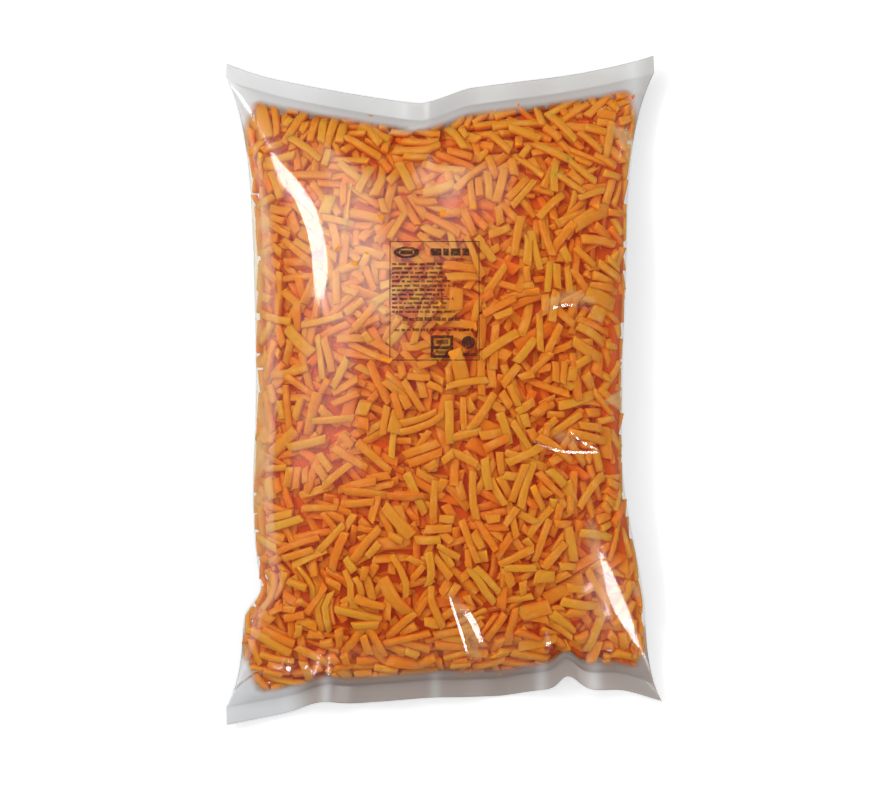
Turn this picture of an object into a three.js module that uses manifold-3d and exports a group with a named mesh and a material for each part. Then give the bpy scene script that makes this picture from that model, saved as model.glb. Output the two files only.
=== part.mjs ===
// A catering bag of shredded cheddar: a clear film pillow pack, sealed across both ends, lying on its back.
// Millimetres. +Z up, +X across the bag, +Y along it towards its top end; it rests on z = 0.
import * as THREE from "three";
import { mergeVertices } from "three/addons/utils/BufferGeometryUtils.js";
import Module from "manifold-3d";

// The empty bag laid flat is 280 by 434 (11 by 17 in). Filled, its sides draw in but its ends don't.
const flatHalf = 140; // half the flat width
const leftWaist = 120.5; // how far the full bag's sides stand from the middle line
const rightWaist = 115.5;
const leftCorner = 141; // the corners' reach on the left, and on the right at the bottom and at the top
const rightBottomCorner = 145;
const rightTopCorner = 137;
const endReach = 206; // distance from the middle at which the sides have flared out to the corners
const topEnd = 187.3; // lowest point of the top edge, at the fold in it
const bottomEnd = -199; // middle of the bottom edge
const fillDepth = 68; // thickness of the full bag in the middle
const sideHeight = 28; // height of the widest line of the sides
const sealHeight = 13; // height of the seals above the table
const sealBand = 12; // width of each heat seal
const sealDroop = 4; // how far a seal sinks from its inner to its outer edge
const filmPair = 0.9; // thickness of the two films where nothing lies between them
const sag = 4; // how far the underside would bulge below the table if it were not there

// The shreds that press out through the film: their own sizes, and how far they stand proud of it.
const shredCount = 170;
const shredLength = [14, 29];
const shredWidth = [5, 6.4];
const shredThickness = 4;
const shredProud = 1.3;
const shredSeed = 7;

// How finely the pillow is divided: across, along, and across each seal.
const acrossSteps = 26;
const alongSteps = 34;
const bandSteps = 2;

const ease = (x, from, to) => THREE.MathUtils.smoothstep(x, from, to);
const lerp = THREE.MathUtils.lerp;
const sum = (terms) => terms.reduce((total, term) => total + term, 0);

// A curve's parts. Steps are [height, from, to], bumps are [height, middle, half width], and rises are
// [height, reach, power]: each reaches its height at its reach, and the higher the power the later it does.
const hill = (x) => Math.exp(-(x ** 2));
const stepsAt = (x, list) => sum(list.map(([height, from, to]) => height * ease(x, from, to)));
const bumpsAt = (x, list) => sum(list.map(([height, middle, half]) => height * hill((x - middle) / half)));
const risesAt = (x, list) => sum(list.map(([height, reach, power]) => height * (x / reach) ** power));

// The seals' outer edges from above: a shallow V at the top with a fold in it, a wavier line at the bottom.
const foldX = -11.7; // where the V of the top edge is lowest
const foldRounding = 30; // length over which the V is rounded off above the fill; at the seal it is sharp
const topLeftRises = [[19.4, 127.6, 1], [7.5, 127.6, 5]];
const topRightRises = [[17.6, 147, 1], [5, 147, 6]];
const topSteps = [[7.4, -12, 24]];
const bottomLeftDrops = [[18, 139, 1.6]];
const bottomSteps = [[5, 30, 70], [-9, 112, 150]];
const bottomNotches = [[5, -80, 14], [10, 83, 9]];

function topEdge(x, rounding) {
  const fromFold = x - foldX;
  const bend = Math.hypot(fromFold, rounding) - rounding;
  const left = Math.max((bend - fromFold) / 2, 0);
  const right = Math.max((bend + fromFold) / 2, 0);
  return topEnd + risesAt(left, topLeftRises) + risesAt(right, topRightRises) + stepsAt(x, topSteps);
}

function bottomEdge(x, notchShare) {
  const drop = risesAt(Math.max(-x, 0), bottomLeftDrops);
  return bottomEnd - drop + stepsAt(x, bottomSteps) + notchShare * bumpsAt(x, bottomNotches);
}

// How far the sides reach at y. Both flare towards the ends, and the left one has a dent near its lower end.
const upperFlare = [[9, endReach, 2], [12, endReach, 7]];
const rightShoulder = [[1.4, 75, 45]];
const leftLowerFlare = [[13, endReach, 9]];
const leftLowerBumps = [[2, -65, 35], [-3, -125, 14]];
const leftLowerSteps = [[8, 126, 146]];
const rightLowerFlare = [[15, endReach, 9]];
const rightLowerSteps = [[15, 40, 150]];

function leftSide(y) {
  const reach = Math.abs(y);
  const upper = risesAt(reach, upperFlare);
  const lower = risesAt(reach, leftLowerFlare) + bumpsAt(y, leftLowerBumps) + stepsAt(-y, leftLowerSteps);
  return -Math.min(leftWaist + (y > 0 ? upper : lower), leftCorner);
}

function rightSide(y) {
  const reach = Math.abs(y);
  const upper = rightWaist + risesAt(reach, upperFlare) + bumpsAt(y, rightShoulder);
  const lower = rightWaist + risesAt(reach, rightLowerFlare) + stepsAt(-y, rightLowerSteps);
  return y > 0 ? Math.min(upper, rightTopCorner) : Math.min(lower, rightBottomCorner);
}

// The seals' own height above the table: they ripple, and they arch where they fold. Ripples are
// [height, length, shift] of a sine.
const sealRipples = { top: [[1.6, 17, 1], [0.3, 7.3, 0]], bottom: [[1.6, 17, 3], [1, 7.3, 0]] };
const sealArches = {
  top: [[9, -8, 11], [-4, 22, 16], [5, 126, 22]],
  bottom: [[12, 84, 13], [8, -76, 11], [-5, 40, 26], [-5, -120, 26]],
};

function sealLine(x, end, waveShare) {
  const ripples = sealRipples[end].map(([height, length, shift]) => height * Math.sin(x / length + shift));
  return sealHeight + waveShare * (sum(ripples) + bumpsAt(x, sealArches[end]));
}

// How full the bag is along its length: 0 at the seals, 1 in the middle, a little more towards the bottom.
const endBluntness = 3.6; // the higher, the longer the bag stays full towards its seals
const endRoundness = 0.6; // 0.5 would be a round end, 1 a flat taper
const slumpShare = 0.05; // how much of the fill has slid towards the bottom end
const slumpMiddle = 0.12;

function fullness(v) {
  const slump = v - slumpMiddle * (1 - v * v);
  return (1 - Math.abs(v) ** endBluntness) ** endRoundness * (1 - slumpShare * slump);
}

// Shallow dips and swells of the film over the fill, as fractions of the upper half's height. Each is
// [height, waves across, waves along, shift].
const swells = [[0.03, 3.1, 2.2, 0.6], [0.025, -2.4, 5.3, 0], [0.015, 8.7, 6.1, 0]];
const unevenness = (u, v) =>
  sum(swells.map(([height, across, along, shift]) => height * Math.sin(across * u + along * v + shift)));

// The cross section: how square its upper and lower halves are, and how their rims sharpen towards the seals,
// where the folds and waves of the seals begin too.
const domeBluntness = 2.7;
const bellyBluntness = 3.6;
const rimRoundness = 0.5;
const rimSharpening = 0.4;
const sharpeningPower = 6;
const seamPower = 2.5; // the seam stays at the sides' height and comes down to the seals near the ends

// A point of the bag: u runs from -1 to 1 across it, v from -1 to 1 between the seals and to +-2 over one.
// side is 1 on the upper film, -1 on the lower.
function bagPoint(u, v, side) {
  const flatX = u * flatHalf;
  const inBand = Math.max(Math.abs(v) - 1, 0);
  const within = THREE.MathUtils.clamp(v, -1, 1);
  const nearEnd = Math.abs(within) ** sharpeningPower;
  const high = topEdge(flatX, foldRounding * (1 - nearEnd)) - sealBand;
  const low = bottomEdge(flatX, nearEnd) + sealBand;
  const y = lerp(low, high, (within + 1) / 2) + Math.sign(v) * inBand * sealBand;
  const x = lerp(leftSide(y), rightSide(y), (u + 1) / 2);

  const full = fullness(within);
  const toSeal = Math.abs(within) ** seamPower;
  const line = sealLine(flatX, v > 0 ? "top" : "bottom", nearEnd);
  const seam = lerp(sideHeight, line, toSeal) - sealDroop * inBand;
  const roundness = rimRoundness + rimSharpening * nearEnd;
  const gap = filmPair / 2;
  if (side > 0) {
    const dome = (1 - Math.abs(u) ** domeBluntness) ** roundness;
    const height = (fillDepth - sideHeight) * full * dome * (1 + unevenness(u, within));
    return new THREE.Vector3(x, y, seam + gap + height);
  }
  const belly = (1 - Math.abs(u) ** bellyBluntness) ** roundness;
  const depth = (sideHeight + sag) * full * belly;
  return new THREE.Vector3(x, y, Math.max(seam - gap - depth, 0));
}

// Steps crowd towards the sides and the seals, where the bag curves most.
function steps(count) {
  return Array.from({ length: count + 1 }, (_, i) => -Math.cos((Math.PI * i) / count));
}

// The upper and lower films as two grids with the same rim, and a narrow wall that joins them round it.
function pillowGeometry() {
  const across = steps(acrossSteps);
  const band = Array.from({ length: bandSteps }, (_, i) => (i + 1) / bandSteps);
  const along = [...band.map((b) => -1 - b).reverse(), ...steps(alongSteps), ...band.map((b) => 1 + b)];
  const columns = across.length;
  const rows = along.length;
  const points = [];
  for (const side of [1, -1]) {
    for (const v of along) {
      for (const u of across) points.push(bagPoint(u, v, side));
    }
  }
  const at = (row, column, side) => (side > 0 ? 0 : rows * columns) + row * columns + column;
  const index = [];
  const quad = (a, b, c, d) => index.push(a, b, c, a, c, d);
  for (let r = 0; r < rows - 1; r++) {
    for (let c = 0; c < columns - 1; c++) {
      quad(at(r, c, 1), at(r, c + 1, 1), at(r + 1, c + 1, 1), at(r + 1, c, 1));
      quad(at(r, c, -1), at(r + 1, c, -1), at(r + 1, c + 1, -1), at(r, c + 1, -1));
    }
  }
  const lastRow = rows - 1;
  const lastColumn = columns - 1;
  for (let c = 0; c < lastColumn; c++) {
    quad(at(0, c, -1), at(0, c + 1, -1), at(0, c + 1, 1), at(0, c, 1));
    quad(at(lastRow, c, 1), at(lastRow, c + 1, 1), at(lastRow, c + 1, -1), at(lastRow, c, -1));
  }
  for (let r = 0; r < lastRow; r++) {
    quad(at(r, 0, 1), at(r + 1, 0, 1), at(r + 1, 0, -1), at(r, 0, -1));
    quad(at(r, lastColumn, -1), at(r + 1, lastColumn, -1), at(r + 1, lastColumn, 1), at(r, lastColumn, 1));
  }
  const geometry = new THREE.BufferGeometry().setFromPoints(points);
  geometry.setIndex(index);
  return geometry;
}

// The same draws every run.
const drawFactor = 1664525;
const drawStep = 1013904223;
const drawRange = 2 ** 32;
function makeDraw(seed) {
  let state = seed;
  return (low, high) => {
    state = (Math.imul(state, drawFactor) + drawStep) >>> 0;
    return low + ((high - low) * state) / drawRange;
  };
}

// One shred pressed against the upper film at (u, v), at this angle to the line across the bag.
const slopeStep = 0.01;
function shredGeometry(u, v, angle, length, width) {
  const here = bagPoint(u, v, 1);
  const across = bagPoint(u + slopeStep, v, 1).sub(bagPoint(u - slopeStep, v, 1)).divideScalar(2 * slopeStep);
  const along = bagPoint(u, v + slopeStep, 1).sub(bagPoint(u, v - slopeStep, 1)).divideScalar(2 * slopeStep);
  const du = (Math.cos(angle) * length) / 2 / across.length();
  const dv = (Math.sin(angle) * length) / 2 / along.length();
  const fore = bagPoint(u + du, v + dv, 1);
  const aft = bagPoint(u - du, v - dv, 1);
  const outward = across.clone().cross(along).normalize();
  const axis = fore.clone().sub(aft).normalize();
  const sideways = outward.clone().cross(axis).normalize();
  const upright = axis.clone().cross(sideways);
  // The film curves away under a straight shred, so it lies half way between its chord and its tangent.
  const middle = fore.add(aft).multiplyScalar(0.5).lerp(here, 0.5);
  middle.addScaledVector(upright, shredProud - shredThickness / 2);
  const geometry = new THREE.BoxGeometry(length, width, shredThickness);
  const place = new THREE.Matrix4().makeBasis(axis, sideways, upright).setPosition(middle);
  return geometry.applyMatrix4(place);
}

// Shreds spread evenly over the upper film and its sides by a rule that never bunches two together.
const stepU = 0.7548776662; // these two steps spread points evenly over a square
const stepV = 0.569840291;
const shredReach = 0.93; // share of the bag's width and length that they cover
const turnShare = 0.92; // share of the half turn over which they spread across
function shredGeometries() {
  const draw = makeDraw(shredSeed);
  return Array.from({ length: shredCount }, (_, i) => {
    const u = Math.sin((((i * stepU) % 1) - 0.5) * Math.PI * turnShare) * shredReach;
    const v = (((i * stepV) % 1) * 2 - 1) * shredReach;
    const angle = draw(0, Math.PI);
    return shredGeometry(u, v, angle, draw(...shredLength), draw(...shredWidth));
  });
}

// Joining: the pillow and its shreds become one closed body.
const mergeDistance = 1e-5;
const wasm = await Module();
wasm.setup();

function toSolid(geometry) {
  geometry.deleteAttribute("normal");
  geometry.deleteAttribute("uv");
  const merged = mergeVertices(geometry, mergeDistance);
  const vertProperties = new Float32Array(merged.attributes.position.array);
  const triVerts = new Uint32Array(merged.index.array);
  return new wasm.Manifold(new wasm.Mesh({ numProp: 3, vertProperties, triVerts }));
}

function toGeometry(solid) {
  const { vertProperties, triVerts } = solid.getMesh();
  const geometry = new THREE.BufferGeometry();
  geometry.setAttribute("position", new THREE.BufferAttribute(vertProperties, 3));
  geometry.setIndex(new THREE.BufferAttribute(triVerts, 1));
  geometry.computeVertexNormals();
  return geometry;
}

// Fusing may seal in a small hollow or cut off a scrap: only the largest body's outer skin is kept.
function fuse(geometries) {
  const bodies = geometries.map(toSolid).reduce((whole, piece) => whole.add(piece)).decompose();
  return bodies.reduce((best, body) => (body.volume() > best.volume() ? body : best));
}

const bagSolid = fuse([pillowGeometry(), ...shredGeometries()]);
const cheddarInFilm = new THREE.MeshStandardMaterial({ color: 0xd98a35, roughness: 0.35, metalness: 0 });
const bag = new THREE.Mesh(toGeometry(bagSolid), cheddarInFilm);
bag.name = "cheese_bag";

const part = new THREE.Group();
part.add(bag);
export default part;
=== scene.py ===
import math

import bpy
import numpy as np
from mathutils import Matrix, Vector


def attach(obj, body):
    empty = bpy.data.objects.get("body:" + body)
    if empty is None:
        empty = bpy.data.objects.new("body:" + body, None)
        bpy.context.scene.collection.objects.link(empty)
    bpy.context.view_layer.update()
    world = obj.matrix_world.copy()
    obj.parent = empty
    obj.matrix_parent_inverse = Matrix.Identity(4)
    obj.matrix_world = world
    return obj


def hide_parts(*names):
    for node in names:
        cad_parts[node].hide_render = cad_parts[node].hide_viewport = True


# A catering bag of shredded cheddar on its back. Sizes are in millimetres; makeMesh scales them to metres.
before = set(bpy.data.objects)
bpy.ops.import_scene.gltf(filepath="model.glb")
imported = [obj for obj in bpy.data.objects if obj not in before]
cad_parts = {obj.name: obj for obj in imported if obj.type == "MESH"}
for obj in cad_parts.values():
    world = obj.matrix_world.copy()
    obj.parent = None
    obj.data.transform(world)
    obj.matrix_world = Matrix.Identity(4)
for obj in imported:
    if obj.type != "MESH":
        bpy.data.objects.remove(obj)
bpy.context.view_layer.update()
metres = 0.001
scene = bpy.context.scene


class Signal:  # a node's output, which takes part in sums as a number does
    def __init__(self, graph, socket):
        self.graph = graph
        self.socket = socket

    def math(self, operation, first, second):
        return self.graph.add("ShaderNodeMath", {"operation": operation}, {0: first, 1: second})

    def __add__(self, other):
        return self.math("ADD", self, other)

    def __mul__(self, other):
        return self.math("MULTIPLY", self, other)

    def __radd__(self, other):
        return self.math("ADD", other, self)

    def __rmul__(self, other):
        return self.math("MULTIPLY", other, self)


class Graph:  # one material and its nodes
    def __init__(self, name):
        self.material = bpy.data.materials.new(name)
        self.material.use_nodes = True
        self.nodes = self.material.node_tree.nodes
        self.links = self.material.node_tree.links
        self.nodes.clear()

    def add(self, kind, settings=None, sockets=None, output=0):
        node = self.nodes.new(kind)
        for name, value in (settings or {}).items():
            setattr(node, name, value)
        for key, value in (sockets or {}).items():
            if isinstance(value, Signal):
                self.links.new(value.socket, node.inputs[key])
            else:
                node.inputs[key].default_value = value
        return Signal(self, node.outputs[output]) if node.outputs else node

    def blendColours(self, share, first, second):
        return self.add("ShaderNodeMix", {"data_type": "RGBA"}, {0: share, 6: first, 7: second}, 2)

    def noise(self, scale, detail=2.0):
        place = self.add("ShaderNodeTexCoord", output="Object")
        return self.add("ShaderNodeTexNoise", None, {"Vector": place, "Scale": scale, "Detail": detail})

    def painted(self, name):  # a value that each point of the mesh carries
        return self.add("ShaderNodeAttribute", {"attribute_name": name}, output="Fac")

    def finish(self, surface):
        self.add("ShaderNodeOutputMaterial", None, {"Surface": surface})
        return self.material


def linearColour(red, green, blue):  # a colour as a paint program gives it, 0 to 255
    def linear(value):
        share = value / 255
        return share / 12.92 if share <= 0.04045 else ((share + 0.055) / 1.055) ** 2.4

    return (linear(red), linear(green), linear(blue), 1)


# The bag's form is the CAD solid's.
bag = {
    "halfWidth": 140.0,  # half the width of the film laid flat
    "leftWaist": 120.5,  # how far the full bag's sides stand from the middle
    "rightWaist": 115.5,
    "topEnd": 187.3,  # lowest point of the top edge, at its fold
    "bottomEnd": -199.0,  # bottom edge in the middle
    "endReach": 206.0,  # where the sides have flared to the full flat width
    "fillDepth": 68.0,
    "sideHeight": 28.0,  # height of the widest line of the sides
    "sealHeight": 13.0,
    "sealBand": 12.0,
    "filmPair": 0.9,
    "sag": 4.0,  # how far the underside would bulge below the table
    "foldAt": -11.7,  # where the V of the top edge is lowest
    "foldRounding": 30.0,  # length over which the V is rounded off above the fill
}


def ease(x, start, end):
    share = np.clip((x - start) / (end - start), 0, 1)
    return share * share * (3 - 2 * share)


def bump(x, centre, width):
    return np.exp(-(((x - centre) / width) ** 2))


def topEdge(x, rounding):
    fromFold = x - bag["foldAt"]
    bend = np.hypot(fromFold, rounding) - rounding
    left = np.maximum((bend - fromFold) / 2, 0)
    right = np.maximum((bend + fromFold) / 2, 0)
    leftRise = 0.152 * left + 7.5 * (left / 127.6) ** 5
    rightRise = 0.12 * right + 5 * (right / 147) ** 6 + 7.4 * ease(x, -12, 24)
    return bag["topEnd"] + leftRise + rightRise


def bottomEdge(x, notchShare):
    drop = 18 * (np.maximum(-x, 0) / 139) ** 1.6 + 9 * ease(x, 112, 150) - 5 * ease(x, 30, 70)
    return bag["bottomEnd"] - drop + notchShare * (5 * bump(x, -80, 14) + 10 * bump(x, 83, 9))


def leftSide(y):
    reach = np.abs(y) / bag["endReach"]
    upper = 9 * reach**2 + 12 * reach**7
    lower = 2 * bump(y, -65, 35) - 3 * bump(y, -125, 14) + 8 * ease(-y, 126, 146) + 13 * reach**9
    return -np.minimum(bag["leftWaist"] + np.where(y > 0, upper, lower), 141)


def rightSide(y):
    reach = np.abs(y) / bag["endReach"]
    upper = 9 * reach**2 + 12 * reach**7 + 1.4 * bump(y, 75, 45)
    lower = 15 * ease(-y, 40, 150) + 15 * reach**9
    return np.minimum(bag["rightWaist"] + np.where(y > 0, upper, lower), np.where(y > 0, 137, 145))


def sealLine(x, isTop, waveShare):
    ripple = 1.6 * np.sin(x / 17 + np.where(isTop, 1, 3)) + np.where(isTop, 0.3, 1.0) * np.sin(x / 7.3)
    topArches = 9 * bump(x, -8, 11) - 4 * bump(x, 22, 16) + 5 * bump(x, 126, 22)
    bottomArches = 12 * bump(x, 84, 13) + 8 * bump(x, -76, 11) - 5 * bump(x, 40, 26) - 5 * bump(x, -120, 26)
    return bag["sealHeight"] + waveShare * (ripple + np.where(isTop, topArches, bottomArches))


def fullness(v):
    slump = v - 0.12 * (1 - v * v)
    return (1 - np.abs(v) ** 3.6) ** 0.6 * (1 - 0.05 * slump)


def unevenness(u, v):
    long = 0.03 * np.sin(3.1 * u + 2.2 * v + 0.6) + 0.025 * np.sin(5.3 * v - 2.4 * u)
    return long + 0.015 * np.sin(8.7 * u + 6.1 * v)


# A place on the bag: u runs from side to side, v from seal to seal and on to +-2 over a seal, and side is 1
# for the upper film and -1 for the lower one.
def bagPoint(u, v, side):
    flatX = u * bag["halfWidth"]
    inBand = np.maximum(np.abs(v) - 1, 0)
    within = np.clip(v, -1, 1)
    flatEnds = np.abs(within) ** 6
    high = topEdge(flatX, bag["foldRounding"] * (1 - flatEnds)) - bag["sealBand"]
    low = bottomEdge(flatX, flatEnds) + bag["sealBand"]
    y = low + (high - low) * (within + 1) / 2 + np.sign(v) * inBand * bag["sealBand"]
    left = leftSide(y)
    x = left + (rightSide(y) - left) * (u + 1) / 2
    full = fullness(within)
    toSeal = np.abs(within) ** 2.5
    seam = bag["sideHeight"] + (sealLine(flatX, v > 0, flatEnds) - bag["sideHeight"]) * toSeal - 4 * inBand
    roundness = 0.5 + 0.4 * flatEnds
    gap = bag["filmPair"] / 2
    dome = np.maximum(1 - np.abs(u) ** 2.7, 0) ** roundness
    belly = np.maximum(1 - np.abs(u) ** 3.6, 0) ** roundness
    upper = seam + gap + (bag["fillDepth"] - bag["sideHeight"]) * full * dome * (1 + unevenness(u, within))
    lower = np.maximum(seam - gap - (bag["sideHeight"] + bag["sag"]) * full * belly, 0)
    return np.stack([x, y, np.where(side > 0, upper, lower)], axis=-1)


def bagPlace(x, y):  # the bag's u and v at these places seen from above
    u = np.clip((x - leftSide(y)) / (rightSide(y) - leftSide(y)) * 2 - 1, -1, 1)
    v = np.zeros_like(u)
    flatX = u * bag["halfWidth"]
    for _ in range(8):  # the edges' folds fade inside the bag, so its height is found step by step
        flatEnds = np.abs(v) ** 6
        low = bottomEdge(flatX, flatEnds) + bag["sealBand"]
        high = topEdge(flatX, bag["foldRounding"] * (1 - flatEnds)) - bag["sealBand"]
        v = np.clip((y - low) / (high - low) * 2 - 1, -1, 1)
    return u, v


def cornerShare(x, y):  # 1 in the bag's four corners, which the cheese doesn't reach
    return bump(np.abs(x), bag["halfWidth"], 17) * bump(np.abs(y), bag["endReach"], 34)


white = (1, 1, 1, 1)


def makeMesh(name, points, faces, materials, smooth=True):
    mesh = bpy.data.meshes.new(name)
    mesh.from_pydata((np.asarray(points) * metres).tolist(), [], faces)
    mesh.polygons.foreach_set("use_smooth", [smooth] * len(mesh.polygons))
    for material in materials:
        mesh.materials.append(material)
    mesh.validate()
    made = bpy.data.objects.new(name, mesh)
    scene.collection.objects.link(made)
    return made


def paint(made, name, values):
    attribute = made.data.attributes.new(name, "FLOAT", "POINT")
    attribute.data.foreach_set("value", values)


# The skin is the filled bag's surface as a table, from which the shreds are measured inwards. Its rows run
# along the bag and its columns round it.
skinGrid = {"around": 800, "along": 560, "fineRows": 901, "fineColumns": 401, "rimColumns": 70}


def makeSkin():
    around, along = skinGrid["around"], skinGrid["along"]
    fineRows, fineColumns, rimColumns = skinGrid["fineRows"], skinGrid["fineColumns"], skinGrid["rimColumns"]
    u, v = np.meshgrid(-np.cos(np.linspace(0, np.pi, fineColumns)), np.linspace(-1, 1, fineRows))
    up = bagPoint(u, v, 1)
    down = bagPoint(u, v, -1)
    inboard = np.clip(np.arange(fineColumns), rimColumns, fineColumns - 1 - rimColumns)
    room = (up - down)[:, inboard, 2:] / 2  # half the bag's thickness; at the rims, that of a strip inboard
    up = np.concatenate([up, room], axis=2)
    down = np.concatenate([down, room], axis=2)
    loops = np.concatenate([up, down[:, -2:0:-1]], axis=1)  # once round: left, top, right, underneath
    middle = up[:, fineColumns // 2, :3]
    run = np.concatenate([[0], np.cumsum(np.linalg.norm(np.diff(middle, axis=0), axis=1))])
    rowsAt = np.interp(np.linspace(0, run[-1], along), run, np.arange(fineRows))
    lower = np.minimum(rowsAt.astype(int), fineRows - 2)
    share = (rowsAt - lower)[:, None, None]
    loops = loops[lower] * (1 - share) + loops[lower + 1] * share
    table = np.empty((along, around, 4))
    for row, loop in enumerate(loops):
        closed = np.vstack([loop, loop[:1]])
        walk = np.concatenate([[0], np.cumsum(np.linalg.norm(np.diff(closed[:, :3], axis=0), axis=1))])
        at = np.linspace(0, walk[-1], around, endpoint=False)
        for axis in range(4):
            table[row, :, axis] = np.interp(at, walk, closed[:, axis])
    points = table[..., :3]
    perAround = (np.roll(points, -1, axis=1) - np.roll(points, 1, axis=1)) / 2
    perAlong = np.gradient(points, axis=0)
    normal = np.cross(perAround, perAlong)
    for _ in range(3):  # the rims are sharp, so the direction inwards turns over a few steps
        normal = normal + np.roll(normal, 1, axis=1) + np.roll(normal, -1, axis=1)
    normal /= np.linalg.norm(normal, axis=-1, keepdims=True) + 1e-9
    return {"points": points, "normal": normal, "perAround": perAround, "perAlong": perAlong,
            "room": table[..., 3]}


skin = makeSkin()
print("skin of the bag measured")


# Shreds are dropped one by one onto the inside of the film, so the outermost lie against it.
shreds = {
    "count": 14000,
    "onRims": 240,  # of these first ones each lies along the rim of a side
    "tries": 4,  # places tried for each, of which the lowest is taken
    "longShare": 0.62,
    "longLength": (17, 31),
    "shortLength": (7, 17),
    "width": (4.2, 5.8),
    "thickness": (3.3, 4.7),
    "plankShare": 0.04,  # some are cut nearly twice as wide
    "besideShare": 0.3,  # some lie beside the one before, as they left the grater
    "softness": 1.6,  # how far the inner ones press into each other
    "deepest": 11.5,
    "leftGap": 3.0,  # how far the film stands off at the left side
    "seed": 11,
}


def waveField(points, wavelength, seed):  # smooth random hills, about -1 to 1
    draw = np.random.default_rng(seed)
    waves = 14
    total = 0
    for _ in range(waves):
        direction = draw.normal(size=3)
        direction /= np.linalg.norm(direction)
        size = 2 * math.pi / (wavelength * draw.uniform(0.7, 1.5))
        total = total + np.sin(points @ (direction * size) + draw.uniform(0, 2 * math.pi))
    return total / math.sqrt(waves / 2) / 1.6


def coverDepth():  # how far in from the film the outermost shreds may reach; more where the film stands off
    points = skin["points"]
    x, y, z = points[..., 0], points[..., 1], points[..., 2]
    uneven = 1.0 + 1.1 * waveField(points, 15, 3) + 0.8 * waveField(points, 60, 4)
    rim = bump(z, bag["sideHeight"], 15) * ease(np.abs(x), 96, 110)
    leftGap = shreds["leftGap"] * rim * ease(-x, 98, 116) * bump(y, 88, 30)
    return np.maximum(uneven, 0.35) * (1 - 0.8 * rim) + leftGap


def stepTables():  # how many columns and rows of the skin's table a millimetre spans, round it and along it
    around, along, normal = skin["perAround"], skin["perAlong"], skin["normal"]
    first = around / np.linalg.norm(around, axis=-1, keepdims=True)
    second = np.cross(normal, first)
    second /= np.linalg.norm(second, axis=-1, keepdims=True)
    dot = lambda a, b: np.sum(a * b, axis=-1)
    m11, m12, m21, m22 = dot(around, first), dot(along, first), dot(around, second), dot(along, second)
    spread = m11 * m22 - m12 * m21
    return np.stack([m22, -m21], -1) / spread[..., None], np.stack([-m12, m11], -1) / spread[..., None]


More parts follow.
